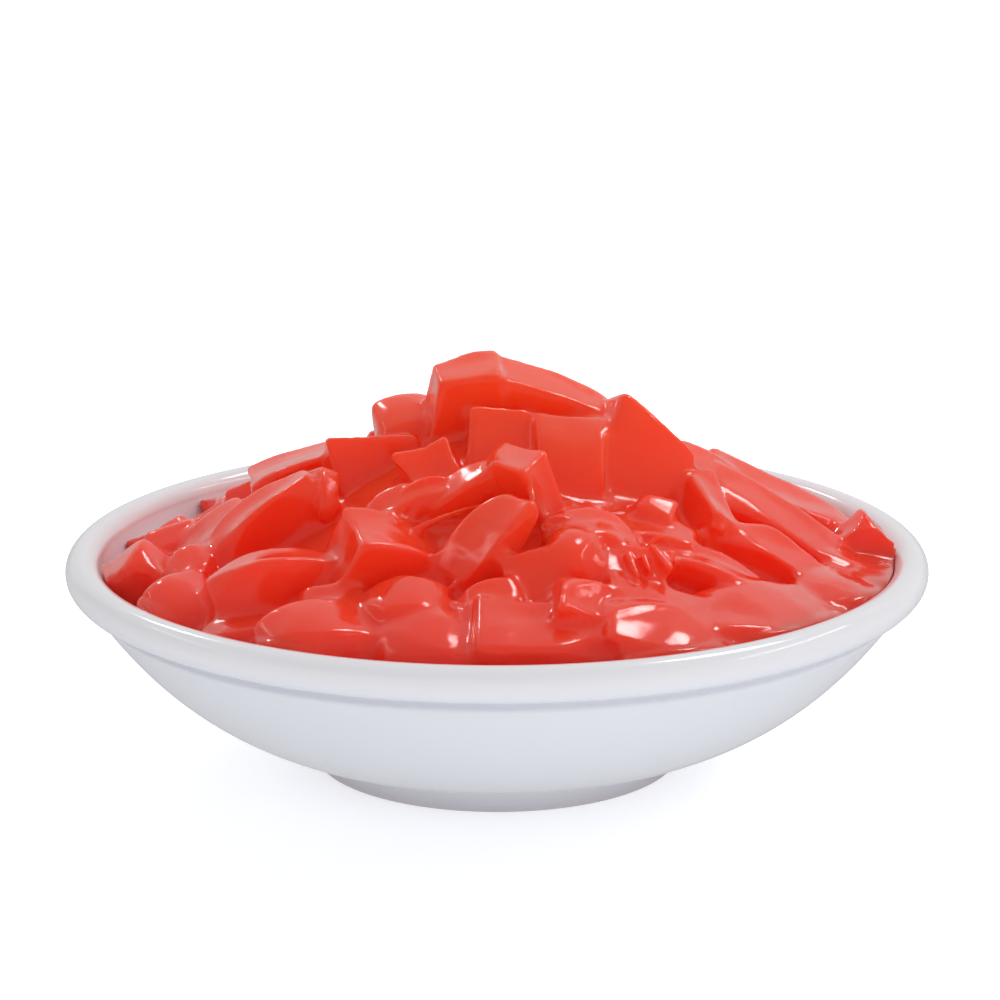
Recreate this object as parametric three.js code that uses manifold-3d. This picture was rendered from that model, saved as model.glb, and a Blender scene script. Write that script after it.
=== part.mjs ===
// A small white dish heaped with broken pieces of red jelly. Millimetres, +Z up.
// The origin is at the centre of the dish's foot, on the surface that the dish stands on.
import * as THREE from "three";
import { mergeVertices } from "three/addons/utils/BufferGeometryUtils.js";
import Module from "manifold-3d";

const wasm = await Module();
wasm.setup();

// Dish. Every radius is measured from its axis, every height from the surface under it.
const rimRadius = 75;
const rimHeight = 38.4;
const beadRadius = 3; // half the thickness of the rolled edge
const beadStart = -120; // degrees round the bead's section, where the neck runs into it
const beadEnd = 180;
const neck = { radius: 69.6, height: 31.8 }; // narrowest place, under the bead
const shoulder = { radius: 70.7, height: 30.7 }; // top of the outer wall
const outerBend = { radius: 55.5, height: 8.2 }; // pulls the outer wall into its curve
const wallFoot = { radius: 32.8, height: 4.3 }; // where the outer wall meets the foot
const footRadius = 32;
const footInnerRadius = 28.5;
const footRecess = 1.5; // hollow under the dish, inside the foot ring
const floorHeight = 6.1; // the inside of the dish at its centre
const floorEdge = { radius: 30, height: 7.2 };
const innerBend = { radius: 52.5, height: 10.8 };
const innerTop = { radius: 67.3, height: 33 };
const dishSides = 60;
const wallSteps = 7;
const beadSteps = 10;

// Heap of jelly.
const wallGap = 0.3; // left between the jelly and the dish
const heapRoom = 80; // height of the space that the heap may take
const coreSides = 28;
const coreRise = [ // the heap's inside, seen only between the pieces: radii and heights
  [rimRadius, 27],
  [58, 33.5],
  [45, 40.5],
  [29, 49.5],
  [13, 57],
  [0, 60],
];
const cornerLeast = 0.68; // a corner lies between these shares of the piece's half size
const cornerMost = 1.04;
const cutCount = 2; // slanting cuts that shave corners off each piece
const cutSlant = 0.2; // the least that a cut leans towards each side of its corner
const cutLevel = 0.72; // a cut lies at this share of the way out to its corner
const bendLevel = 0.3; // how far a bent piece's middle stands up, as a share of its droop

// The larger pieces as they lie, from the top of the heap down to the rim. place is the
// middle, size is the length, width and thickness, and turn is the yaw, pitch and roll in
// degrees. taper narrows one end, pinch both ends, and skew leans the piece; they are shares.
// droop lowers the ends, bow pushes them sideways and hollow sinks each face, in millimetres.
// twist turns each end about the length, in degrees.
const placedPieces = {
  topLeft: { place: [-5.4, 0.5, 63.3], size: [15, 13, 15.5], turn: [8, 0, 6], droop: 0.2, hollow: 0.5 },
  topRight: {
    place: [8.2, 2, 61.5], size: [26, 14, 14], turn: [-4, 13, 13],
    taper: 0.1, droop: 1.2, hollow: 0.3, twist: 6,
  },
  leftCap: {
    place: [-14.6, 4, 57.2], size: [14, 13, 10], turn: [14, -2, 12],
    droop: 0.8, hollow: -0.5, pinch: 0.12,
  },
  underTop: {
    place: [1, -8, 57.5], size: [14, 14, 12], turn: [6, 2, 52],
    taper: 0.1, skew: 0.15, hollow: 0.7,
  },
  rightStep: {
    place: [12.4, -11.5, 54.2], size: [20, 13.5, 12], turn: [-84, 44, 4],
    droop: 3, hollow: 0.3, twist: 8,
  },
  bigRight: {
    place: [24, -7, 52.1], size: [22, 24, 14], turn: [8, 26, 66],
    taper: 0.2, droop: 1.2, hollow: 0.7,
  },
  upright: {
    place: [4, -24, 52.5], size: [13, 12, 19], turn: [-38, -4, 12],
    taper: 0.15, skew: -0.15, hollow: 0.8, twist: 8,
  },
  blade: {
    place: [-4.6, -24.5, 54.8], size: [18, 10, 6], turn: [10, -30, 12.5],
    taper: 0.2, droop: 0.4, hollow: 0.2, pinch: 0.25,
  },
  scoop: { place: [-11.3, -16, 54.8], size: [12, 11, 9], turn: [25, -14, 40], hollow: 1.6 },
  strip: {
    place: [-15, -25, 51.5], size: [17, 8, 7], turn: [12, -28, 20],
    taper: 0.2, droop: 1.5, hollow: 0.4, pinch: 0.2,
  },
  leaf: {
    place: [-1.8, -38, 49], size: [21, 13, 8], turn: [20, -42, 22],
    taper: 0.1, droop: 0.8, hollow: 0.5, pinch: 0.35,
  },
  bigLeft: {
    place: [-22, -5, 51.2], size: [17, 13, 20], turn: [12, -3, -18],
    taper: 0.05, hollow: 0.8,
  },
  leftSlab: {
    place: [-38, -17, 45.7], size: [25, 12, 13], turn: [16, -37, 0],
    droop: 1, hollow: 0.9, pinch: 0.1, bow: -1,
  },
  leftRidge: {
    place: [-47, -11.5, 40.4], size: [18, 17, 10], turn: [2, -44, 8],
    taper: 0.15, droop: 1.5, hollow: 0.4,
  },
  leftBack: { place: [-35.5, 4, 47.8], size: [19, 17, 11], turn: [2, -19, 3], droop: 0.8, hollow: 0.5 },
  farLeft: { place: [-56, -4, 38.5], size: [12, 9, 8], turn: [20, -20, 20], hollow: 0.2 },
  leftTip: { place: [-60.5, -15, 35.2], size: [12, 11, 11], turn: [10, 42, 16], hollow: 0.3 },
  leftLump: { place: [-51, -22, 38.5], size: [12, 9, 9], turn: [20, -20, 15], droop: 0.8, pinch: 0.3 },
  leftDome: {
    place: [-51.5, -32, 34], size: [16, 13, 12], turn: [30, -14, 24],
    droop: 1.4, hollow: -0.6, pinch: 0.1,
  },
  lens: {
    place: [-37.5, -37, 40.6], size: [26, 10, 14], turn: [8, -9, -4],
    droop: 1.2, hollow: 0.3, pinch: 0.3, bow: 1,
  },
  lensFoot: { place: [-42, -44, 33.5], size: [14, 10, 9], turn: [20, -10, 12], droop: 0.8 },
  leftPrism: {
    place: [-25.6, -45, 36.6], size: [16, 15, 13], turn: [30, -24, 20],
    droop: 1, hollow: 0.3, pinch: 0.2,
  },
  midWedge: {
    place: [-17.8, -33.5, 43], size: [24, 17, 18], turn: [20, 22, 12],
    taper: 0.1, droop: 1.4, hollow: 0.9,
  },
  wavyLeft: {
    place: [-29, -53.5, 35], size: [21, 14, 13], turn: [20, -4, 6],
    droop: 1.8, hollow: -0.4, pinch: 0.15,
  },
  wavyMiddle: {
    place: [-11, -56, 36], size: [17, 14, 10], turn: [-6, 4, 16],
    droop: 1.4, hollow: -0.4, pinch: 0.1,
  },
  wavyUpper: { place: [-15, -48, 40], size: [16, 11, 8], turn: [5, 0, 14], droop: 1, pinch: 0.15 },
  frontBlock: {
    place: [7.5, -55.5, 35], size: [26, 17, 15], turn: [6, 3, 27],
    skew: 0.1, hollow: 0.1, bow: 0.8,
  },
  frontNub: {
    place: [-0.5, -49, 41], size: [13, 10, 9], turn: [10, -20, 34],
    taper: 0.1, droop: 1, hollow: 0.2, pinch: 0.2,
  },
  frontBit: {
    place: [14.2, -51.5, 41], size: [14, 12, 10], turn: [20, 14, 34],
    taper: 0.3, skew: 0.2, hollow: 0.8,
  },
  crumbSlab: {
    place: [17, -33, 48], size: [20, 11, 7], turn: [-5, 16, 10],
    droop: 2.6, hollow: 0.5, pinch: 0.15,
  },
  curl: { place: [12.6, -40.5, 45.6], size: [11, 10, 9], turn: [-14, -10, 24], droop: 1.6, hollow: -1 },
  streak: {
    place: [23, -41.3, 42.7], size: [12, 13, 9], turn: [0, 1, 29],
    taper: 0.1, skew: 0.2, hollow: 0.4, twist: 6,
  },
  lowMiddle: {
    place: [6, -44, 43.5], size: [14, 11, 9], turn: [5, -5, 42],
    taper: 0.1, droop: 1, hollow: 0.7,
  },
  saddle: {
    place: [35.4, -13, 46.8], size: [8, 21, 10], turn: [27, 20, 25],
    taper: 0.1, hollow: 0.5, twist: 8,
  },
  longTop: {
    place: [46, -4, 41.5], size: [31, 13, 12], turn: [-12, 29, 4],
    taper: 0.1, droop: 1.6, hollow: 0.6, twist: 6,
  },
  longBack: {
    place: [49.5, 8, 41.3], size: [34, 15, 11], turn: [4, 24, 14],
    taper: 0.1, droop: 1, hollow: 0.5,
  },
  longMiddle: {
    place: [45, -19, 39.3], size: [26, 10.5, 11], turn: [-12, 28, 4],
    droop: 1.6, hollow: 0.6, pinch: 0.2,
  },
  longLow: {
    place: [35, -32, 39], size: [32, 11, 13], turn: [-8, 20, 0],
    droop: 2, hollow: 1, pinch: 0.2, bow: 1,
  },
  rightPeak: { place: [63.4, 0, 38.1], size: [8, 10, 12], turn: [8, 42, 4], hollow: 0.2 },
  wetFront: {
    place: [28.8, -54.2, 33.4], size: [27, 28, 12], turn: [12, 17, 22],
    droop: 0.6, hollow: -1.4,
  },
  wetRight: { place: [45, -41, 33.6], size: [34, 22, 12], turn: [38, 8, 16], droop: 2, hollow: -0.6 },
  wetSide: { place: [57, -25, 33.3], size: [20, 17, 11], turn: [62, 6, 12], droop: 1, hollow: -0.5 },
  rightBit: { place: [60, -8, 34], size: [13, 11, 10], turn: [75, 10, 16], droop: 0.8, hollow: 0.2 },
  chip: { place: [25.8, -21, 49], size: [8, 4.4, 5], turn: [0, 31, 28], taper: -0.9 },
  frontFill: { place: [9, -48, 39], size: [16, 11, 9], turn: [-10, 6, 24], droop: 1 },
  shoulder: { place: [36.5, 4, 46.8], size: [18, 14, 11], turn: [-4, 30, 14], droop: 1.2, hollow: 0.4 },
  rimFill: { place: [66.8, -4, 32.2], size: [20, 36, 10], turn: [4, 9, 0], droop: 0.5 },
  wetSwell: { place: [22.8, -56, 39.1], size: [15, 13, 6], turn: [0, 14.7, 23.9], hollow: 0.1 },
  ledge: { place: [25.2, -25, 46.4], size: [19, 12, 6], turn: [-4, 8, 10], droop: 0.8, hollow: 0.3 },
};

// The rest of the heap lies in arcs behind those, each piece pointing down the slope.
// Degrees run from +X towards +Y.
const arcs = [
  { radius: 17, height: 55, count: 5, from: 5, to: 140 },
  { radius: 32, height: 43.4, count: 8, from: 8, to: 150 },
  { radius: 46, height: 39.5, count: 11, from: 20, to: 182 },
  { radius: 60, height: 32.5, count: 13, from: 25, to: 188 },
];
const arcSeed = 100;
const arcPiece = { size: [20, 13.5, 10], slope: 27, taper: 0.15, droop: 0.8, hollow: 0.5 };
const arcSpread = { // greatest difference between two pieces
  bearing: 8,
  radius: 4,
  height: 3,
  size: [8, 5, 4],
  turn: [50, 24, 44],
  skew: 0.3,
};

// Where a piece's draws for its corners, for the three axes of a corner and for its cuts begin.
const cornerDraws = 20;
const axisDraws = [0, 31, 57];
const cutDraws = 90;

// A repeatable draw between -0.5 and 0.5.
function draw(index, which) {
  const wave = Math.sin(index * 12.9898 + which * 78.233) * 43758.5453;
  return wave - Math.floor(wave) - 0.5;
}

function arcPieces() {
  const pieces = [];
  let index = arcSeed;
  for (const arc of arcs) {
    const step = (arc.to - arc.from) / arc.count;
    for (let k = 0; k < arc.count; k++) {
      index++;
      const vary = (spread, which) => spread * draw(index, which);
      const bearing = arc.from + step * (k + 0.5) + vary(arcSpread.bearing, 1);
      const radius = arc.radius + vary(arcSpread.radius, 2);
      const turn = [bearing, arcPiece.slope, 0];
      const angle = THREE.MathUtils.degToRad(bearing);
      pieces.push({
        index,
        place: [
          radius * Math.cos(angle),
          radius * Math.sin(angle),
          arc.height + vary(arcSpread.height, 3),
        ],
        size: arcPiece.size.map((length, axis) => length + vary(arcSpread.size[axis], 4 + axis)),
        turn: turn.map((degrees, axis) => degrees + vary(arcSpread.turn[axis], 7 + axis)),
        skew: vary(arcSpread.skew, 10),
        taper: arcPiece.taper,
        droop: arcPiece.droop,
        hollow: arcPiece.hollow,
      });
    }
  }
  return pieces;
}

// How far each of a piece's eight corners lies out from its middle, as a share on each axis.
function cornerShares(index) {
  const corners = [];
  for (const a of [-1, 1])
    for (const b of [-1, 1])
      for (const c of [-1, 1]) {
        const key = cornerDraws + a * 9 + b * 3 + c;
        const inward = axisDraws.map((offset) => draw(index, key + offset) + 0.5);
        corners.push({ a, b, c, share: inward.map((t) => cornerMost - (cornerMost - cornerLeast) * t) });
      }
  return corners;
}

// The planes of the slanting cuts: which way each faces, and how far out it lies.
function cutPlanes(index) {
  const planes = [];
  for (let k = 0; k < cutCount; k++) {
    const slant = [0, 1, 2].map((axis) => draw(index, cutDraws + 5 * k + axis));
    const heading = new THREE.Vector3(...slant.map((d) => d + Math.sign(d) * cutSlant)).normalize();
    const reach = heading.manhattanLength();
    planes.push({ heading, level: reach * cutLevel });
  }
  return planes;
}

// One piece: a box with uneven, partly cut corners and slightly hollow faces, which tapers,
// twists, leans and bends, turned to the way it lies. Each face has steps x steps parts.
function pieceGeometry(piece, steps) {
  const { index, place, size, turn } = piece;
  const { taper = 0, pinch = 0, skew = 0, droop = 0, bow = 0, hollow = 0, twist = 0 } = piece;
  const corners = cornerShares(index);
  const cuts = cutPlanes(index);
  const box = new THREE.BoxGeometry(2, 2, 2, steps, steps, steps);
  const position = box.getAttribute("position");
  for (let i = 0; i < position.count; i++) {
    const onBox = new THREE.Vector3().fromBufferAttribute(position, i);
    const cut = onBox.clone();
    for (const { heading, level } of cuts) {
      cut.addScaledVector(heading, -Math.max(cut.dot(heading) - level, 0));
    }
    const point = new THREE.Vector3();
    for (const { a, b, c, share } of corners) {
      const weight = ((1 + a * cut.x) * (1 + b * cut.y) * (1 + c * cut.z)) / 8;
      point.add(new THREE.Vector3(...share).multiply(cut).multiplyScalar(weight));
    }
    point.multiply(new THREE.Vector3(...size)).divideScalar(2);
    for (let k = 0; k < 3; k++) {
      const side = onBox.getComponent(k);
      const u = onBox.getComponent((k + 1) % 3);
      const v = onBox.getComponent((k + 2) % 3);
      const sunk = Math.abs(side) === 1 ? side * hollow * (1 - u * u) * (1 - v * v) : 0;
      point.setComponent(k, point.getComponent(k) - sunk);
    }
    const along = cut.x;
    const narrowing = (1 - (taper * (along + 1)) / 2) * (1 - pinch * along * along);
    point.y *= narrowing;
    point.z *= narrowing;
    point.applyAxisAngle(new THREE.Vector3(1, 0, 0), THREE.MathUtils.degToRad(twist) * along);
    const bend = along * along - bendLevel;
    point.x += skew * point.y;
    point.y += bow * bend;
    point.z -= droop * bend;
    position.setXYZ(i, point.x, point.y, point.z);
  }
  const [yaw, pitch, roll] = turn.map((degrees) => THREE.MathUtils.degToRad(degrees));
  box.rotateX(roll);
  box.rotateY(pitch);
  box.rotateZ(yaw);
  box.translate(...place);
  return box;
}

function at(radius, height) {
  return new THREE.Vector2(radius, height);
}

// A wall's section from one point to another, drawn out towards a third.
function wallCurve(from, bend, to) {
  return new THREE.QuadraticBezierCurve(from, bend, to).getPoints(wallSteps);
}

// The inside of the dish from the edge of its floor up to the bead, moved in by a gap.
function innerWall(gap) {
  return wallCurve(
    at(floorEdge.radius, floorEdge.height + gap),
    at(innerBend.radius - gap, innerBend.height + gap),
    at(innerTop.radius - gap, innerTop.height),
  );
}

function revolved(profile, sides) {
  const geometry = new THREE.LatheGeometry(profile, sides);
  geometry.rotateX(Math.PI / 2);
  return geometry;
}

function dishGeometry() {
  const bead = [];
  for (let i = 0; i <= beadSteps; i++) {
    const angle = THREE.MathUtils.degToRad(beadStart + ((beadEnd - beadStart) * i) / beadSteps);
    bead.push(
      at(
        rimRadius + beadRadius * (Math.cos(angle) - 1),
        rimHeight + beadRadius * (Math.sin(angle) - 1),
      ),
    );
  }
  const outerWall = wallCurve(
    at(wallFoot.radius, wallFoot.height),
    at(outerBend.radius, outerBend.height),
    at(shoulder.radius, shoulder.height),
  );
  const profile = [
    at(0, footRecess),
    at(footInnerRadius - footRecess / 2, footRecess),
    at(footInnerRadius, 0),
    at(footRadius, 0),
    ...outerWall,
    at(neck.radius, neck.height),
    ...bead,
    ...innerWall(0).reverse(),
    at(0, floorHeight),
  ];
  return revolved(profile, dishSides);
}

// The inside of the heap, under and between the pieces.
function coreGeometry() {
  const profile = [at(0, 0), at(rimRadius, 0)];
  for (const [radius, height] of coreRise) profile.push(at(radius, height));
  return revolved(profile, coreSides);
}

// All the space that the jelly may take: the inside of the dish and what is above it.
function roomGeometry() {
  const mouth = rimRadius - 2 * beadRadius - wallGap;
  const profile = [
    at(0, floorHeight + wallGap),
    ...innerWall(wallGap),
    at(mouth, rimHeight - beadRadius),
    at(mouth, heapRoom),
    at(0, heapRoom),
  ];
  return revolved(profile, dishSides);
}

function toSolid(geometry) {
  const bare = geometry.clone();
  bare.deleteAttribute("normal");
  bare.deleteAttribute("uv");
  const merged = mergeVertices(bare);
  return new wasm.Manifold(
    new wasm.Mesh({
      numProp: 3,
      vertProperties: merged.getAttribute("position").array,
      triVerts: new Uint32Array(merged.index.array),
    }),
  );
}

function toGeometry(solid) {
  const mesh = solid.getMesh();
  const geometry = new THREE.BufferGeometry();
  geometry.setAttribute("position", new THREE.BufferAttribute(mesh.vertProperties, 3));
  geometry.setIndex(new THREE.BufferAttribute(mesh.triVerts, 1));
  geometry.computeVertexNormals();
  return geometry;
}

// The core with every piece joined on, cut to the dish. What joining seals off between the
// pieces is left filled: only the largest body counts.
function heapGeometry() {
  let heap = toSolid(coreGeometry());
  Object.values(placedPieces).forEach((piece, index) => {
    heap = heap.add(toSolid(pieceGeometry({ index, ...piece }, 2)));
  });
  for (const piece of arcPieces()) heap = heap.add(toSolid(pieceGeometry(piece, 1)));
  const bodies = heap.intersect(toSolid(roomGeometry())).decompose();
  bodies.sort((a, b) => b.volume() - a.volume());
  return toGeometry(bodies[0]);
}

function namedMesh(name, geometry, material) {
  const mesh = new THREE.Mesh(geometry, material);
  mesh.name = name;
  return mesh;
}

const glaze = new THREE.MeshStandardMaterial({ color: 0xe6e9ef, roughness: 0.15, metalness: 0 });
const jelly = new THREE.MeshStandardMaterial({ color: 0xd9301c, roughness: 0.08, metalness: 0 });

const group = new THREE.Group();
group.add(namedMesh("dish", dishGeometry(), glaze));
group.add(namedMesh("jelly_heap", heapGeometry(), jelly));

export default group;
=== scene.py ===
import math
import bpy
import numpy as np
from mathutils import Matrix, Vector


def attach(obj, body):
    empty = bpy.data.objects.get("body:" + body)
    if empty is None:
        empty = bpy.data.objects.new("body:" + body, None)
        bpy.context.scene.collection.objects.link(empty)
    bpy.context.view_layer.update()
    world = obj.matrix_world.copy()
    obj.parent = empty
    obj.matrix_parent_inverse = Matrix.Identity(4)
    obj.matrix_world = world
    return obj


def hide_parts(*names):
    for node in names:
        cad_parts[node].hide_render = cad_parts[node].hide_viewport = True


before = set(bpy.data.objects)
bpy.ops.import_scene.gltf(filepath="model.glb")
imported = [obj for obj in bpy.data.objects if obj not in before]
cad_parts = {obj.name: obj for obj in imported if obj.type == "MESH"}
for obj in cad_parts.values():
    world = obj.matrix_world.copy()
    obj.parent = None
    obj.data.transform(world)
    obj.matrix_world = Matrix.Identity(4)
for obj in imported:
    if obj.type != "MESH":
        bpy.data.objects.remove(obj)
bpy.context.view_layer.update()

# Each value is in millimetres or degrees unless its note says otherwise.
mm = 0.001
tiny = 1e-9  # keeps a division off zero


def curve(start, bend, end, steps):
    # A quadratic curve: the blend of three points by (1-t) squared, 2t(1-t) and t squared.
    start, bend, end = (np.array(point) for point in (start, bend, end))
    t = np.linspace(0, 1, steps + 1)[:, None]
    return (1 - t) ** 2 * start + 2 * t * (1 - t) * bend + t ** 2 * end


def lathe(profile, sides):
    # A profile of radii and heights carried round the Z axis: at angle a a point of it is (radius
    # cos a, radius sin a, height). A point on the axis stays one vertex, so that the poles are
    # closed, and each quad that meets there has it twice.
    angle = np.arange(sides) * 2 * math.pi / sides
    points, faces, rings = [], [], []
    count = 0
    for radius, height in np.array(profile, float):
        if radius == 0:
            points.append(np.array([[0, 0, height]]))
            rings.append(np.full(sides, count))
        else:
            level = np.full(sides, height)
            points.append(np.stack((radius * np.cos(angle), radius * np.sin(angle), level), 1))
            rings.append(count + np.arange(sides))
        count += len(points[-1])
    for low, high in zip(rings[:-1], rings[1:]):
        faces.append(np.stack((low, np.roll(low, -1), np.roll(high, -1), high), 1))
    return np.concatenate(points), np.concatenate(faces)


def gridFaces(count):
    # Quads of a square grid of points counted row by row, with (row, column) turning outwards.
    corner = np.arange(count * count).reshape(count, count)
    quads = (corner[:-1, :-1], corner[1:, :-1], corner[1:, 1:], corner[:-1, 1:])
    return np.stack(quads, -1).reshape(-1, 4)


def makePiece(name, points, faces):
    # Quads become polygons without any corner that repeats the one before it, as at a pole.
    kept = faces != np.roll(faces, 1, axis=1)
    corners = kept.sum(1)
    mesh = bpy.data.meshes.new(name)
    mesh.vertices.add(len(points))
    mesh.vertices.foreach_set("co", (points * mm).ravel())
    mesh.loops.add(corners.sum())
    mesh.loops.foreach_set("vertex_index", faces[kept].astype(np.int32))
    mesh.polygons.add(len(faces))
    mesh.polygons.foreach_set("loop_start", (np.cumsum(corners) - corners).astype(np.int32))
    mesh.polygons.foreach_set("use_smooth", np.full(len(faces), True))
    mesh.update(calc_edges=True)
    piece = bpy.data.objects.new(name, mesh)
    bpy.context.scene.collection.objects.link(piece)
    return piece


def finished(piece):
    # The mesh that a piece's modifiers give.
    graph = bpy.context.evaluated_depsgraph_get()
    return bpy.data.meshes.new_from_object(piece.evaluated_get(graph))


class Socket:
    # A shader socket that can be used in ordinary expressions.
    def __init__(self, tree, socket):
        self.tree = tree
        self.socket = socket

    def maths(self, operation, first, second):
        return self.tree.node("Math", {0: first, 1: second}, operation=operation)

    def __add__(self, other):
        return self.maths("ADD", self, other)

    def __mul__(self, other):
        return self.maths("MULTIPLY", self, other)

    def __sub__(self, other):
        return self.maths("SUBTRACT", self, other)

    def __rsub__(self, other):
        return self.maths("SUBTRACT", other, self)

    __radd__ = __add__
    __rmul__ = __mul__


class Tree:
    # A node tree with one method that adds any node.
    def __init__(self, owner):
        owner.use_nodes = True
        self.nodes = owner.node_tree.nodes
        self.links = owner.node_tree.links
        self.nodes.clear()

    def node(self, kind, inputs=None, output=0, **settings):
        made = self.nodes.new("ShaderNode" + kind)
        for name, value in settings.items():
            setattr(made, name, value)
        for name, value in (inputs or {}).items():
            if isinstance(value, Socket):
                self.links.new(value.socket, made.inputs[name])
            else:
                made.inputs[name].default_value = value
        return Socket(self, made.outputs[output]) if made.outputs else made


def colourMix(tree, share, first, second):
    # Sockets 0, 6 and 7 of a colour Mix are its share and its two colours, and 2 is the result.
    first, second = (end if isinstance(end, Socket) else (*end, 1) for end in (first, second))
    return tree.node("Mix", {0: share, 6: first, 7: second}, output=2, data_type="RGBA")


def noise(tree, place, scale, detail):
    # Cloudy noise from 0 to 1. A higher scale makes it finer, and detail adds finer layers.
    return tree.node("TexNoise", {"Vector": place, "Scale": scale, "Detail": detail})


def heightShare(tree, place, levels):
    # 0 at the first of two heights, 1 at the second, and even between them.
    height = tree.node("SeparateXYZ", {"Vector": place}, output="Z")
    start, full = (level * mm for level in levels)
    return tree.node("MapRange", {"Value": height, "From Min": start, "From Max": full})


dishForm = {
    "rimRadius": 75, "rimHeight": 38.4,
    "beadRadius": 3, "bead": (-120, 180),  # the rolled rim, and its turn from the outermost point
    "neck": (69.6, 31.8), "shoulder": (70.7, 30.7),  # radius and height, as in the next lines
    "outerBend": (55.5, 8.2), "wallFoot": (32.8, 4.3),
    "footRadius": 32, "footInnerRadius": 28.5, "footRecess": 1.5,
    "floorHeight": 6.1, "floorEdge": (30, 7.2), "innerBend": (52.5, 10.8), "innerTop": (67.3, 33),
    "sides": 320, "wallSteps": 40, "neckSteps": 8, "beadSteps": 30,
}


def innerWall(gap, steps):
    # The curve of the dish's inside from the floor's edge to the rolled rim, moved in by a gap.
    floor, bend, top = (dishForm[end] for end in ("floorEdge", "innerBend", "innerTop"))
    lifted = (floor[0], floor[1] + gap)
    return curve(lifted, (bend[0] - gap, bend[1] + gap), (top[0] - gap, top[1]), steps)


def makeDish():
    # A profile from the middle of the underside out, up and back to the middle of the floor. At w
    # degrees the rolled rim has radius rim + bead (cos w - 1) and height rim + bead (sin w - 1).
    d = dishForm
    angle = np.radians(np.linspace(*d["bead"], d["beadSteps"] + 1))
    bead = np.stack((
        d["rimRadius"] + d["beadRadius"] * (np.cos(angle) - 1),
        d["rimHeight"] + d["beadRadius"] * (np.sin(angle) - 1),
    ), 1)
    profile = np.concatenate((
        [(0, d["footRecess"]), (d["footInnerRadius"] - d["footRecess"] / 2, d["footRecess"])],
        [(d["footInnerRadius"], 0), (d["footRadius"], 0)],
        curve(d["wallFoot"], d["outerBend"], d["shoulder"], d["wallSteps"]),
        curve(d["shoulder"], d["neck"], bead[0], d["neckSteps"])[1:-1],
        bead,
        innerWall(0, d["wallSteps"])[::-1],
        [(0, d["floorHeight"])],
    ))
    return makePiece("glazedDish", *lathe(profile, d["sides"]))


glazeLook = {
    "body": (0.7, 0.715, 0.775),
    "pale": (0.73, 0.745, 0.805),  # the glaze is clouded from body to pale
    "cloud": (18, 1),  # scale and detail of the noise
    # painted highlight: the rim's glaze is whiter, as if lit from above
    "rim": (0.85, 0.84, 0.875),
    "rimLevels": (33.5, 36.5),  # heights where the rim's painted highlight starts and is full
    # painted shade: the foot is greyer, as if shaded by the dish above it
    "footShade": (0.58, 0.555, 0.595),
    "footShadeLevels": (4.4, 0.5),  # heights where the foot's painted shade starts and is full
    "roughness": 0.16, "unevenness": 0.08,  # the second is how far the first varies in all
    "coat": 0.3, "coatRoughness": 0.08,
}


def glazeMaterial():
    look = glazeLook
    material = bpy.data.materials.new("glaze")
    tree = Tree(material)
    place = tree.node("TexCoord", output="Object")
    cloud = noise(tree, place, *look["cloud"])
    colour = colourMix(tree, cloud, look["body"], look["pale"])
    # The rim is painted whiter as a painted highlight, and the foot greyer as painted shade.
    for part in ("rim", "footShade"):
        share = heightShare(tree, place, look[part + "Levels"])
        colour = colourMix(tree, share, colour, look[part])
    shader = tree.node("BsdfPrincipled", {
        "Base Color": colour,
        "Roughness": (cloud - 0.5) * look["unevenness"] + look["roughness"],
        "Coat Weight": look["coat"],
        "Coat Roughness": look["coatRoughness"],
    })
    tree.node("OutputMaterial", {"Surface": shader})
    return material


heapForm = {
    "wallGap": 0.1,
    "wallSteps": 60, "beadSteps": 12,  # parts of the curve that limits the heap
    # Radii and heights of the heap's core, which fills the dish from wall to wall.
    "coreRise": [(75, 27), (58, 33.5), (45, 40.5), (29, 49.5), (13, 57), (0, 60)],
    "coreSides": 96,
    "cornerLeast": 0.68, "cornerMost": 1.04,  # shares of a piece's half size
    "cornerDraw": 20, "axisDraws": (0, 31, 57),  # numbers of the draws for the corners
    "cuts": 2, "cutSlant": 0.2,
    "cutLevel": 0.72,  # a cut lies at this share of the way out to its corner
    "cutDraw": 90, "nextCut": 5,  # numbers of the draws for the cuts
    "bendLevel": 0.3,  # the share of the droop or bow that lifts a piece's middle
    "words": ("taper", "skew", "droop", "hollow", "pinch", "bow", "twist"),
    "edgeRadius": 0.7,
    "thinRadius": 0.7,  # a thin piece's edge radius, as a share of half its thickness
    "steps": 18,  # parts along each edge of a piece
    "voxel": 0.4,
    "film": (0.7, 2.2),  # radius of the wet fillets between pieces, high up and down at the rim
    "wetLevels": (42, 35),  # heights where the wetter part starts and is full
    "smoothing": (3, 22),  # passes over the whole surface, and more over the wetter part
    "sliverSeed": 60, "sliverSmoothing": 2,
    "cling": 3.5,  # the jelly is drawn to the dish's wall from this near
    "triangles": 190000,
}

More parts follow.
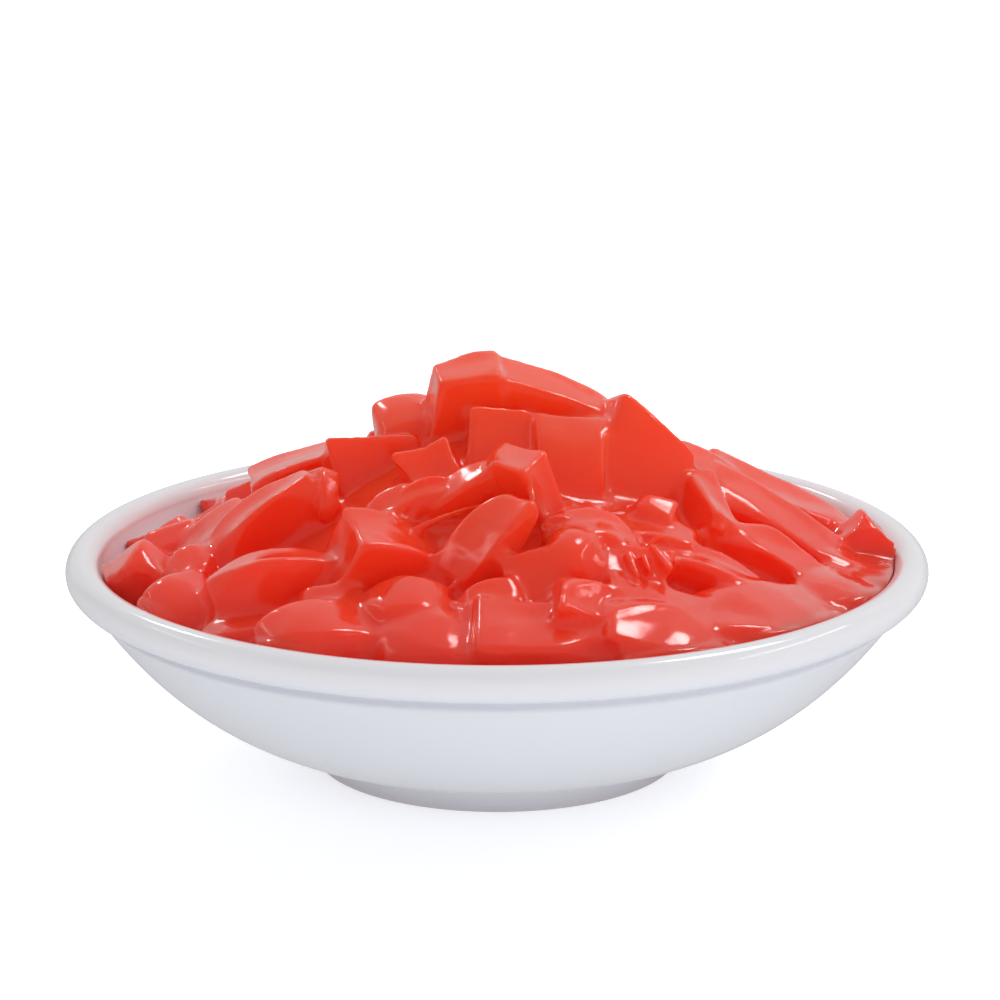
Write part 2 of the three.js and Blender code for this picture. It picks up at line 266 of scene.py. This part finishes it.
# The larger pieces: middle, size and yaw, pitch and roll. Then, where a piece has them: taper, how
# much its +x end narrows; pinch, how much both ends do; skew, how far it leans along x; droop and
# bow, how far its ends hang and bend aside; hollow, how deep its faces sink; and twist.
placedPieces = {
    "topLeft": ((-5.4, 0.5, 63.3), (15, 13, 15.5), (8, 0, 6), {"droop": 0.2, "hollow": 0.5}),
    "topRight": ((8.2, 2, 61.5), (26, 14, 14), (-4, 13, 13),
        {"taper": 0.1, "droop": 1.2, "hollow": 0.3, "twist": 6}),
    "leftCap": ((-14.6, 4, 57.2), (14, 13, 10), (14, -2, 12),
        {"droop": 0.8, "hollow": -0.5, "pinch": 0.12}),
    "underTop": ((1, -8, 57.5), (14, 14, 12), (6, 2, 52),
        {"taper": 0.1, "skew": 0.15, "hollow": 0.7}),
    "rightStep": ((12.4, -11.5, 54.2), (20, 13.5, 12), (-84, 44, 4),
        {"droop": 3, "hollow": 0.3, "twist": 8}),
    "bigRight": ((24, -7, 52.1), (22, 24, 14), (8, 26, 66),
        {"taper": 0.2, "droop": 1.2, "hollow": 0.7}),
    "upright": ((4, -24, 52.5), (13, 12, 19), (-38, -4, 12),
        {"taper": 0.15, "skew": -0.15, "hollow": 0.8, "twist": 8}),
    "blade": ((-4.6, -24.5, 54.8), (18, 10, 6), (10, -30, 12.5),
        {"taper": 0.2, "droop": 0.4, "hollow": 0.2, "pinch": 0.25}),
    "scoop": ((-11.3, -16, 54.8), (12, 11, 9), (25, -14, 40), {"hollow": 1.6}),
    "strip": ((-15, -25, 51.5), (17, 8, 7), (12, -28, 20),
        {"taper": 0.2, "droop": 1.5, "hollow": 0.4, "pinch": 0.2}),
    "leaf": ((-1.8, -38, 49), (21, 13, 8), (20, -42, 22),
        {"taper": 0.1, "droop": 0.8, "hollow": 0.5, "pinch": 0.35}),
    "bigLeft": ((-22, -5, 51.2), (17, 13, 20), (12, -3, -18), {"taper": 0.05, "hollow": 0.8}),
    "leftSlab": ((-38, -17, 45.7), (25, 12, 13), (16, -37, 0),
        {"droop": 1, "hollow": 0.9, "pinch": 0.1, "bow": -1}),
    "leftRidge": ((-47, -11.5, 40.4), (18, 17, 10), (2, -44, 8),
        {"taper": 0.15, "droop": 1.5, "hollow": 0.4}),
    "leftBack": ((-35.5, 4, 47.8), (19, 17, 11), (2, -19, 3), {"droop": 0.8, "hollow": 0.5}),
    "farLeft": ((-56, -4, 38.5), (12, 9, 8), (20, -20, 20), {"hollow": 0.2}),
    "leftTip": ((-60.5, -15, 35.2), (12, 11, 11), (10, 42, 16), {"hollow": 0.3}),
    "leftLump": ((-51, -22, 38.5), (12, 9, 9), (20, -20, 15), {"droop": 0.8, "pinch": 0.3}),
    "leftDome": ((-51.5, -32, 34), (16, 13, 12), (30, -14, 24),
        {"droop": 1.4, "hollow": -0.6, "pinch": 0.1}),
    "lens": ((-37.5, -37, 40.6), (26, 10, 14), (8, -9, -4),
        {"droop": 1.2, "hollow": 0.3, "pinch": 0.3, "bow": 1}),
    "lensFoot": ((-42, -44, 33.5), (14, 10, 9), (20, -10, 12), {"droop": 0.8}),
    "leftPrism": ((-25.6, -45, 36.6), (16, 15, 13), (30, -24, 20),
        {"droop": 1, "hollow": 0.3, "pinch": 0.2}),
    "midWedge": ((-17.8, -33.5, 43), (24, 17, 18), (20, 22, 12),
        {"taper": 0.1, "droop": 1.4, "hollow": 0.9}),
    "wavyLeft": ((-29, -53.5, 35), (21, 14, 13), (20, -4, 6),
        {"droop": 1.8, "hollow": -0.4, "pinch": 0.15}),
    "wavyMiddle": ((-11, -56, 36), (17, 14, 10), (-6, 4, 16),
        {"droop": 1.4, "hollow": -0.4, "pinch": 0.1}),
    "wavyUpper": ((-15, -48, 40), (16, 11, 8), (5, 0, 14), {"droop": 1, "pinch": 0.15}),
    "frontBlock": ((7.5, -55.5, 35), (26, 17, 15), (6, 3, 27),
        {"skew": 0.1, "hollow": 0.1, "bow": 0.8}),
    "frontNub": ((-0.5, -49, 41), (13, 10, 9), (10, -20, 34),
        {"taper": 0.1, "droop": 1, "hollow": 0.2, "pinch": 0.2}),
    "frontBit": ((14.2, -51.5, 41), (14, 12, 10), (20, 14, 34),
        {"taper": 0.3, "skew": 0.2, "hollow": 0.8}),
    "crumbSlab": ((17, -33, 48), (20, 11, 7), (-5, 16, 10),
        {"droop": 2.6, "hollow": 0.5, "pinch": 0.15}),
    "curl": ((12.6, -40.5, 45.6), (11, 10, 9), (-14, -10, 24), {"droop": 1.6, "hollow": -1}),
    "streak": ((23, -41.3, 42.7), (12, 13, 9), (0, 1, 29),
        {"taper": 0.1, "skew": 0.2, "hollow": 0.4, "twist": 6}),
    "lowMiddle": ((6, -44, 43.5), (14, 11, 9), (5, -5, 42),
        {"taper": 0.1, "droop": 1, "hollow": 0.7}),
    "saddle": ((35.4, -13, 46.8), (8, 21, 10), (27, 20, 25),
        {"taper": 0.1, "hollow": 0.5, "twist": 8}),
    "longTop": ((46, -4, 41.5), (31, 13, 12), (-12, 29, 4),
        {"taper": 0.1, "droop": 1.6, "hollow": 0.6, "twist": 6}),
    "longBack": ((49.5, 8, 41.3), (34, 15, 11), (4, 24, 14),
        {"taper": 0.1, "droop": 1, "hollow": 0.5}),
    "longMiddle": ((45, -19, 39.3), (26, 10.5, 11), (-12, 28, 4),
        {"droop": 1.6, "hollow": 0.6, "pinch": 0.2}),
    "longLow": ((35, -32, 39), (32, 11, 13), (-8, 20, 0),
        {"droop": 2, "hollow": 1, "pinch": 0.2, "bow": 1}),
    "rightPeak": ((63.4, 0, 38.1), (8, 10, 12), (8, 42, 4), {"hollow": 0.2}),
    "wetFront": ((28.8, -54.2, 33.4), (27, 28, 12), (12, 17, 22), {"droop": 0.6, "hollow": -1.4}),
    "wetRight": ((45, -41, 33.6), (34, 22, 12), (38, 8, 16), {"droop": 2, "hollow": -0.6}),
    "wetSide": ((57, -25, 33.3), (20, 17, 11), (62, 6, 12), {"droop": 1, "hollow": -0.5}),
    "rightBit": ((60, -8, 34), (13, 11, 10), (75, 10, 16), {"droop": 0.8, "hollow": 0.2}),
    "chip": ((25.8, -21, 49), (8, 4.4, 5), (0, 31, 28), {"taper": -0.9}),
    "frontFill": ((9, -48, 39), (16, 11, 9), (-10, 6, 24), {"droop": 1}),
    "shoulder": ((36.5, 4, 46.8), (18, 14, 11), (-4, 30, 14), {"droop": 1.2, "hollow": 0.4}),
    "rimFill": ((66.8, -4, 32.2), (20, 36, 10), (4, 9, 0), {"droop": 0.5}),
    "wetSwell": ((22.8, -56, 39.1), (15, 13, 6), (0, 14.7, 23.9), {"hollow": 0.1}),
    "ledge": ((25.2, -25, 46.4), (19, 12, 6), (-4, 8, 10), {"droop": 0.8, "hollow": 0.3}),
}

# Shards and curls of jelly that lie on the larger pieces, given in the same way.
slivers = {
    "streakOne": ((21.9, -43.6, 46.6), (7.4, 2, 2.4), (-76, 25.6, -7.4), {"taper": 0.3}),
    "streakTwo": ((24.2, -43.1, 46.8), (5.6, 1.8, 2.4), (-76, 25.7, -1.3), {"taper": 0.3}),
    "finger": ((26.6, -41.6, 47), (7.6, 2, 2.2), (-56.6, 31.3, -3.5), {"taper": -0.3}),
    "seamArc": ((25.6, -34.5, 47.6), (5, 1.4, 2), (40, -30, 0), {"droop": 0.6, "bow": -0.8}),
    "curlOne": ((9.2, -32.8, 50.6), (6, 1.5, 2), (19, -25, 0), {"droop": 1, "bow": -0.9}),
    "curlTwo": ((8.9, -34.6, 49.4), (4.4, 1.2, 2), (35, -38, 0), {"droop": 0.6, "bow": -0.6}),
    "curlThree": ((10.4, -35, 48.8), (3.4, 1.1, 1.8), (40, -36, 0), {"droop": 0.4, "bow": -0.4}),
    "domeRidge": ((9.4, -43.2, 48.4), (6.4, 1.5, 2), (40, -38, 0), {"droop": 0.8}),
    "slabLip": ((-28.9, -16.8, 52), (12, 5, 4), (-88, 40, -34),
        {"taper": 0.3, "droop": 1, "bow": 0.6}),
    "stripFold": ((-13.4, -24.6, 54.6), (12, 2, 2.6), (14, -30, 0), {"taper": 0.4, "droop": 1.4}),
    "stripFoldLow": ((-11, -27, 53), (10, 1.8, 2.4), (16, -32, 0), {"taper": 0.4, "droop": 1.2}),
    "hollowFold": ((-8.6, -30.6, 51), (14, 1.3, 2.2), (8, -20, 0), {"taper": 0.3, "droop": 0.5}),
    "saddleFleck": ((37.3, -21, 46.9), (2.8, 2.4, 1.8), (0, 17.5, 27.5), {}),
    "foldRight": ((5.6, -30.6, 55.4), (8, 1.5, 2.4), (-84, 24, 0), {"taper": 0.4}),
}

# The rest lies in arcs behind those: radius, height, count, first and last bearing.
arcForm = {
    "arcs": [
        (17, 55, 5, 5, 140), (32, 43.4, 8, 8, 150),
        (46, 39.5, 11, 20, 182), (60, 32.5, 13, 25, 188),
    ],
    "seed": 100,
    "size": (20, 13.5, 10), "slope": 27, "taper": 0.15, "droop": 0.8, "hollow": 0.5,
    # How far each of them varies in all.
    "bearingSpread": 8, "radiusSpread": 4, "heightSpread": 3,
    "sizeSpread": (8, 5, 4), "turnSpread": (50, 24, 44), "skewSpread": 0.3,
}

jellyRipple = {
    "wave": (21, 9),  # lengths of the two waves in the jelly's skin
    "depth": (0.45, 0.07),
    "count": 9, "stretch": (0.75, 1.35),  # how many sines make a wave, and how their rates vary
    "wallClear": 1.2,  # the ripple fades out this near the dish
}

drawRates = (12.9898, 78.233)
drawHeight = 43758.5453


def draw(index, which):
    # A repeatable draw between -0.5 and 0.5: the fraction left of a large sine.
    wave = math.sin(index * drawRates[0] + which * drawRates[1]) * drawHeight
    return wave - math.floor(wave) - 0.5


def spread(index, which, middles, ranges):
    # One draw after another, each about its middle and over its range.
    return [m + r * draw(index, which + k) for k, (m, r) in enumerate(zip(middles, ranges))]


def arcPieces():
    # Each arc is cut into equal parts, and a piece lies near the middle of each, sloping outwards.
    form = arcForm
    pieces = []
    index = form["seed"]
    for radius, height, count, first, last in form["arcs"]:
        for k in range(count):
            index += 1
            bearing = first + (last - first) / count * (k + 0.5)
            bearing += form["bearingSpread"] * draw(index, 1)
            reach = radius + form["radiusSpread"] * draw(index, 2)
            rise = height + form["heightSpread"] * draw(index, 3)
            angle = math.radians(bearing)
            place = (reach * math.cos(angle), reach * math.sin(angle), rise)
            size = spread(index, 4, form["size"], form["sizeSpread"])
            turn = spread(index, 7, (bearing, form["slope"], 0), form["turnSpread"])
            named = {"skew": form["skewSpread"] * draw(index, 10)}
            named |= {word: form[word] for word in ("taper", "droop", "hollow")}
            pieces.append((index, (place, size, turn, named)))
    return pieces


def turnMatrix(yaw, pitch, roll):
    # A roll about X, then a pitch about Y, then a yaw about Z.
    a, b, c = (math.radians(t) for t in (yaw, pitch, roll))
    aboutZ = np.array([[math.cos(a), -math.sin(a), 0], [math.sin(a), math.cos(a), 0], [0, 0, 1]])
    aboutY = np.array([[math.cos(b), 0, math.sin(b)], [0, 1, 0], [-math.sin(b), 0, math.cos(b)]])
    aboutX = np.array([[1, 0, 0], [0, math.cos(c), -math.sin(c)], [0, math.sin(c), math.cos(c)]])
    return aboutZ @ aboutY @ aboutX


def unitBox(steps):
    # The six faces of the box from -1 to 1, each a grid of its other two axes. The grid's lines lie
    # at the sines of equal angles, so that they come closer near the edges.
    line = np.sin(np.linspace(-math.pi / 2, math.pi / 2, steps + 1))
    u, v = np.meshgrid(line, line, indexing="ij")
    points, faces = [], []
    for axis in range(3):
        for side in (-1, 1):
            face = np.empty(u.shape + (3,))
            face[..., axis] = side
            face[..., (axis + 1) % 3] = u
            face[..., (axis + 2) % 3] = v * side
            faces.append(gridFaces(steps + 1) + len(points) * u.size)
            points.append(face.reshape(-1, 3))
    return np.concatenate(points), np.concatenate(faces)


def roundedBox(box, half):
    # Each point lies one edge radius out from the box that is smaller by that radius.
    rounding = min(heapForm["edgeRadius"], heapForm["thinRadius"] * half.min())
    inner = np.clip(box * half, rounding - half, half - rounding)
    outward = box * half - inner
    outward *= rounding / np.linalg.norm(outward, axis=1, keepdims=True)
    return (inner + outward) / half


def cornersCut(index, unit):
    # Slanting cuts shave corners off: a point beyond a cut's plane is moved back onto it.
    for k in range(heapForm["cuts"]):
        first = heapForm["cutDraw"] + heapForm["nextCut"] * k
        heading = np.array([draw(index, first + axis) for axis in range(3)])
        heading += np.sign(heading) * heapForm["cutSlant"]
        heading /= np.linalg.norm(heading)
        level = np.abs(heading).sum() * heapForm["cutLevel"]
        unit = unit - np.maximum(unit @ heading - level, 0)[:, None] * heading
    return unit


def cornerShares(index, unit):
    # Each of the eight corners draws its own share for each axis, and a point between them blends
    # the eight by the product of (1 + its place times the corner's) / 2 over the axes.
    most = heapForm["cornerMost"]
    span = most - heapForm["cornerLeast"]
    share = np.zeros_like(unit)
    for a in (-1, 1):
        for b in (-1, 1):
            for c in (-1, 1):
                first = heapForm["cornerDraw"] + a * 9 + b * 3 + c  # each corner's own number
                draws = np.array([draw(index, first + axis) for axis in heapForm["axisDraws"]])
                weight = np.prod((1 + np.array((a, b, c)) * unit) / 2, axis=1)
                share += weight[:, None] * (most - span * (draws + 0.5))
    return share


def pieceSurface(index, row):
    # A rounded box with cut corners, drawn in by its corners' shares. Each face then sinks by its
    # hollow times (1 - u squared)(1 - v squared), with u and v from -1 to 1 across the face. Along
    # x, from -1 to 1, the piece narrows by 1 - taper (x + 1) / 2 and by 1 - pinch x squared,
    # twists in proportion to x, leans, and bends with x squared, and it is turned into place.
    place, size, turn, named = row
    values = (named.get(word, 0) for word in heapForm["words"])
    taper, skew, droop, hollow, pinch, bow, twist = values
    box, faces = unitBox(heapForm["steps"])
    half = np.array(size) / 2
    unit = cornersCut(index, roundedBox(box, half))
    points = cornerShares(index, unit) * unit * half
    for axis in range(3):
        u, v = box[:, (axis + 1) % 3], box[:, (axis + 2) % 3]
        onFace = np.abs(box[:, axis]) == 1
        points[:, axis] -= np.where(onFace, box[:, axis] * hollow * (1 - u * u) * (1 - v * v), 0)
    along = unit[:, 0]
    points[:, 1:] *= ((1 - taper * (along + 1) / 2) * (1 - pinch * along ** 2))[:, None]
    swing = np.radians(twist) * along
    y, z = points[:, 1].copy(), points[:, 2].copy()
    points[:, 1] = y * np.cos(swing) - z * np.sin(swing)
    points[:, 2] = y * np.sin(swing) + z * np.cos(swing)
    points[:, 0] += skew * points[:, 1]
    points[:, 1] += bow * (along ** 2 - heapForm["bendLevel"])
    points[:, 2] -= droop * (along ** 2 - heapForm["bendLevel"])
    return points @ turnMatrix(*turn).T + place, faces


def surfaces(rows):
    return [pieceSurface(index, row) for index, row in rows]


def wallRadius(height):
    # The radius that the jelly may reach at a height: up the wall, then round the rolled rim's
    # inner quarter, where w degrees lie at radius rim - bead (1 + cos w) and height
    # rim - bead (1 - sin w).
    d = dishForm
    gap = heapForm["wallGap"]
    wall = innerWall(gap, heapForm["wallSteps"])
    roll = np.radians(np.linspace(0, 90, heapForm["beadSteps"] + 1))
    beadRadii = d["rimRadius"] - d["beadRadius"] * (1 + np.cos(roll)) - gap
    beadHeights = d["rimHeight"] - d["beadRadius"] * (1 - np.sin(roll))
    radii = np.concatenate(([0], wall[:, 0], beadRadii))
    heights = np.concatenate(([d["floorHeight"] + gap], wall[:, 1], beadHeights))
    return np.interp(height, heights, radii)


def together(shells):
    # Several pieces as one array of points and one of faces, kept inside the dish.
    points = np.concatenate([points for points, _ in shells])
    starts = np.cumsum([0] + [len(points) for points, _ in shells])
    faces = np.concatenate([start + faces for start, (_, faces) in zip(starts, shells)])
    points[:, 2] = np.maximum(points[:, 2], dishForm["floorHeight"] + heapForm["wallGap"])
    radius = np.hypot(points[:, 0], points[:, 1])
    points[:, :2] *= np.minimum(1, wallRadius(points[:, 2]) / np.maximum(radius, tiny))[:, None]
    return points, faces


def edgeEnds(faces):
    # The vertices at the two ends of every quad's four edges.
    return np.concatenate((faces[:, :2], faces[:, 1:3], faces[:, 2:], faces[:, [3, 0]])).T


def largestShell(points, faces):
    # Every vertex takes the lowest number that any neighbour has, until nothing changes: each
    # closed shell then has one number, and the shell with the most vertices stays.
    one, two = edgeEnds(faces)
    label = np.arange(len(points))
    while True:
        lowest = label.copy()
        np.minimum.at(lowest, one, label[two])
        np.minimum.at(lowest, two, label[one])
        lowest = lowest[lowest]
        if (lowest == label).all():
            break
        label = lowest
    keep = label == np.bincount(label).argmax()
    number = np.cumsum(keep) - 1
    return points[keep], number[faces[keep[faces[:, 0]]]]


def joined(name, points, faces):
    # The outer skin of everything that overlaps, as even quads.
    loose = makePiece(name, points, faces)
    join = loose.modifiers.new("join", "REMESH")
    join.mode = "VOXEL"
    join.voxel_size = heapForm["voxel"] * mm
    skin = finished(loose)
    bpy.data.objects.remove(loose)
    points = np.empty(len(skin.vertices) * 3, np.float32)
    skin.vertices.foreach_get("co", points)
    corners = np.empty(len(skin.loops), np.int32)
    skin.loops.foreach_get("vertex_index", corners)
    return largestShell(points.reshape(-1, 3).astype(float) / mm, corners.reshape(-1, 4))


def relaxed(points, faces, passes, weight=1):
    # Each pass moves a vertex half way to the middle of its neighbours, or less where the weight
    # is under one.
    one, two = edgeEnds(faces)
    share = np.bincount(one, minlength=len(points)).astype(float)[:, None]
    for _ in range(passes):
        sums = [np.bincount(one, points[two, axis], len(points)) for axis in range(3)]
        points = points + (np.stack(sums, 1) / share - points) * weight / 2
    return points


def vertexNormals(points, faces):
    # The crossed diagonals of the quads round a vertex, added and brought to length one.
    a, b, c, d = (points[faces[:, corner]] for corner in range(4))
    cross = np.repeat(np.cross(c - a, d - b), 4, axis=0)
    sums = [np.bincount(faces.ravel(), cross[:, axis], len(points)) for axis in range(3)]
    normals = np.stack(sums, 1)
    return normals / np.maximum(np.linalg.norm(normals, axis=1, keepdims=True), tiny)


def ripple(points, wave, seed):
    # Smooth noise: the mean of some sine waves of about that length in directions drawn from
    # the seed, doubled.
    count = jellyRipple["count"]
    rng = np.random.default_rng(seed)
    heading = rng.normal(size=(count, 3))
    heading /= np.linalg.norm(heading, axis=1, keepdims=True)
    heading *= rng.uniform(*jellyRipple["stretch"], (count, 1)) * 2 * math.pi / wave
    return np.sin(points @ heading.T + rng.uniform(0, 2 * math.pi, count)).mean(1) * 2


def wetness(points):
    # 0 on the upper pieces, rising to 1 down at the rim, where syrup fills the gaps.
    start, full = heapForm["wetLevels"]
    return np.clip((start - points[:, 2:]) / (start - full), 0, 1)


def filmed(points, faces):
    # Grown by the film and shrunk again, which leaves a fillet wherever two pieces meet.
    upper, lower = heapForm["film"]
    for name, side in (("grownJelly", 1), ("shrunkJelly", -1)):
        depth = side * (upper + (lower - upper) * wetness(points))
        points, faces = joined(name, points + vertexNormals(points, faces) * depth, faces)
    return points, faces


def clung(points):
    # Near the wall a clear distance c becomes c squared over the cling, so that the jelly meets
    # the dish.
    cling = heapForm["cling"]
    wall = wallRadius(points[:, 2])
    radius = np.hypot(points[:, 0], points[:, 1])
    clear = np.clip(wall - radius, 0, None)
    closer = np.where(clear < cling, clear ** 2 / cling, clear)
    points = points.copy()
    points[:, :2] *= ((wall - closer) / np.maximum(radius, tiny))[:, None]
    return points


def rippled(points, faces):
    # Each vertex rises along its normal by the two ripples' sum, less near the dish's wall.
    clear = wallRadius(points[:, 2]) - np.hypot(points[:, 0], points[:, 1])
    fade = np.clip(clear / jellyRipple["wallClear"], 0, 1)
    waves = enumerate(zip(jellyRipple["wave"], jellyRipple["depth"]))
    rise = sum(depth * ripple(points, wave, seed) for seed, (wave, depth) in waves)
    return points + vertexNormals(points, faces) * (rise * fade)[:, None]


def makeHeap():
    # All the pieces and the core that they lie on become one skin, which is filmed with syrup,
    # smoothed, given its slivers, drawn to the dish, rippled and thinned out.
    core = lathe([(0, 0), (dishForm["rimRadius"], 0)] + heapForm["coreRise"], heapForm["coreSides"])
    pieces = surfaces(list(enumerate(placedPieces.values())) + arcPieces())
    points, faces = joined("looseJelly", *together([core] + pieces))
    print("joined", len(faces))
    points, faces = filmed(points, faces)
    print("filmed", len(faces))
    overall, wetter = heapForm["smoothing"]
    points = relaxed(points, faces, overall)
    points = relaxed(points, faces, wetter, wetness(points) ** 2)
    shards = surfaces(enumerate(slivers.values(), heapForm["sliverSeed"]))
    points, faces = joined("jellyWithSlivers", *together([(points, faces)] + shards))
    points = relaxed(points, faces, heapForm["sliverSmoothing"])
    heap = makePiece("jelly", rippled(clung(points), faces), faces)
    thin = heap.modifiers.new("thin", "DECIMATE")
    thin.ratio = heapForm["triangles"] / (2 * len(faces))
    heap.data = finished(heap)
    heap.modifiers.clear()
    heap.data.polygons.foreach_set("use_smooth", np.full(len(heap.data.polygons), True))
    print("heap", len(heap.data.polygons))
    return heap


jellyLook = {
    # deep is the jelly's own red; thin is a painted glow, the oranger red of light shining through
    # thin jelly
    "deep": (0.94, 0.052, 0.024),
    "thin": (0.97, 0.074, 0.018),
    "rise": (36, 66),  # heights between which the colour goes from deep to thin, a painted glow that makes the upper jelly oranger
    "cloud": (70, 2),  # scale and detail of the noise that clouds the colour
    "cloudShare": 0.3,  # how far the colour is clouded in all, as a share of deep to thin
    "radius": (10, 0.9, 0.55),  # how far red, green and blue light wander inside
    "roughness": 0.14, "unevenness": 0.08,  # the second is how far the first varies in all
    "coat": 0.4, "coatRoughness": 0.05,
    "index": 1.38,  # how strongly the jelly and its syrup bend light
    "wobble": (110, 1), "wobbleDepth": 0.9,  # unevenness of a cut face: noise and depth
    "smear": (260, 2), "smearDepth": 0.4, "smearStrength": 0.12,  # streaks in the syrup
}


def jellyMaterial():
    look = jellyLook
    material = bpy.data.materials.new("jelly")
    tree = Tree(material)
    place = tree.node("TexCoord", output="Object")
    cloud, smear, wobble = (noise(tree, place, *look[k]) for k in ("cloud", "smear", "wobble"))
    # Painted glow: the colour goes from deep low down to thin high up, as light shining through
    # would make it, and is clouded at random.
    paintedGlowAndCloud = heightShare(tree, place, look["rise"]) + (cloud - 0.5) * look["cloudShare"]
    bump = tree.node("Bump", {
        "Height": wobble,
        "Strength": 1.0,
        "Distance": look["wobbleDepth"] * mm,
    })
    bump = tree.node("Bump", {
        "Height": smear,
        "Strength": look["smearStrength"],
        "Distance": look["smearDepth"] * mm,
        "Normal": bump,
    })
    shader = tree.node("BsdfPrincipled", {
        "Base Color": colourMix(tree, paintedGlowAndCloud, look["deep"], look["thin"]),
        "Roughness": (smear - 0.5) * look["unevenness"] + look["roughness"],
        "IOR": look["index"],
        "Subsurface Weight": 1.0,
        "Subsurface Radius": [r * mm for r in look["radius"]],
        "Subsurface Scale": 1.0,
        "Coat Weight": look["coat"],
        "Coat Roughness": look["coatRoughness"],
        "Coat IOR": look["index"],
        "Normal": bump,
    })
    tree.node("OutputMaterial", {"Surface": shader})
    return material


floorLook = {"colour": (0.93, 0.93, 0.93), "roughness": 0.9, "glow": 0.4, "half": 3000}


def makeFloor():
    x = np.array((-1, 1, 1, -1)) * floorLook["half"]
    corners = np.stack((x, np.roll(x, 1), 0 * x), 1)
    floor = makePiece("floor", corners, np.array([[0, 1, 2, 3]]))
    material = bpy.data.materials.new("paleFloor")
    tree = Tree(material)
    shader = tree.node("BsdfPrincipled", {
        "Base Color": (*floorLook["colour"], 1),
        "Roughness": floorLook["roughness"],
        "Emission Color": (1, 1, 1, 1),
        "Emission Strength": floorLook["glow"],
    })
    tree.node("OutputMaterial", {"Surface": shader})
    floor.data.materials.append(material)
    floor.visible_glossy = False


# Metres and degrees. The lens is in millimetres, and the shift is a share of the frame.
viewForm = {
    "elevation": 15.65, "distance": 0.6, "focus": 0.0356, "nearest": 0.01,
    "lens": 123.46, "shift": (0.003, 0.0578),
}


def makeCamera():
    # At the distance from the point of focus, out along (0, -cos e, sin e) for the elevation e.
    tilt = math.radians(viewForm["elevation"])
    outward = Vector((0, -math.cos(tilt), math.sin(tilt)))
    data = bpy.data.cameras.new("camera")
    data.lens = viewForm["lens"]
    data.shift_x, data.shift_y = viewForm["shift"]
    data.clip_start = viewForm["nearest"]
    camera = bpy.data.objects.new("camera", data)
    camera.location = Vector((0, 0, viewForm["focus"])) + viewForm["distance"] * outward
    camera.rotation_euler = (-outward).to_track_quat("-Z", "Y").to_euler()
    bpy.context.scene.collection.objects.link(camera)
    bpy.context.scene.camera = camera


# Each softbox: where it hangs, its width and height in metres, and how bright its face is.
lightForm = {
    "softboxes": {
        "back": ((0.1, 1.25, 0.5), 2.4, 0.9, 0.18),
        "top": ((-0.05, 0.55, 1.0), 2.4, 1.1, 0.22),
        "key": ((0.35, 0.35, 0.8), 0.19, 0.25, 10),
        "window": ((-0.38, 0.6, 0.62), 0.06, 0.13, 20),
        "rightStrip": ((0.95, 0.1, 0.78), 0.9, 0.05, 8),
        "leftStrip": ((-0.95, 0.1, 0.78), 0.9, 0.05, 3),
        "front": ((0.6, -1.4, 0.3), 2.6, 1.0, 0.8),
    },
    "hidden": ("front",),  # softboxes that give light but no reflection
    "round": ("key", "window"),
    "aim": (0, 0, 0.05),
    # The room's strength as seen, as a fill, and as reflected from the front and from the back.
    "seen": 1.0, "fill": 0.52, "front": 0.42, "back": 0.52,
    "turn": (0.5, 0.95),  # where the reflected room goes from front to back, on its Y axis
}


def makeLights():
    aim = Vector(lightForm["aim"])
    for name, (place, width, height, radiance) in lightForm["softboxes"].items():
        light = bpy.data.lights.new(name, "AREA")
        light.shape = "ELLIPSE" if name in lightForm["round"] else "RECTANGLE"
        light.size = width
        light.size_y = height
        light.energy = radiance * math.pi * width * height
        box = bpy.data.objects.new(name, light)
        box.location = place
        box.rotation_euler = (aim - Vector(place)).to_track_quat("-Z", "Y").to_euler()
        box.visible_glossy = name not in lightForm["hidden"]
        bpy.context.scene.collection.objects.link(box)


def makeRoom():
    world = bpy.data.worlds.new("room")
    bpy.context.scene.world = world
    tree = Tree(world)
    isCamera = tree.node("LightPath", output="Is Camera Ray")
    isGlossy = tree.node("LightPath", output="Is Glossy Ray")
    ray = tree.node("SeparateXYZ", {"Vector": tree.node("TexCoord")}, output="Y")
    mirrored = tree.node("MapRange", {
        "Value": ray,
        "From Min": lightForm["turn"][0],
        "From Max": lightForm["turn"][1],
        "To Min": lightForm["front"],
        "To Max": lightForm["back"],
    })
    strength = isGlossy * (mirrored - lightForm["fill"]) + lightForm["fill"]
    strength = strength + isCamera * (lightForm["seen"] - lightForm["fill"])
    background = tree.node("Background", {"Color": (1, 1, 1, 1), "Strength": strength})
    tree.node("OutputWorld", {"Surface": background})


makeCamera()
makeFloor()
makeLights()
makeRoom()
bpy.context.scene.view_settings.view_transform = "Standard"
print("stage ready")

dish = makeDish()
dish.data.materials.append(glazeMaterial())
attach(dish, "root")
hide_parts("dish")
print("dish ready")

jelly = makeHeap()
jelly.data.materials.append(jellyMaterial())
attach(jelly, "root")
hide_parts("jelly_heap")
print("jelly ready")
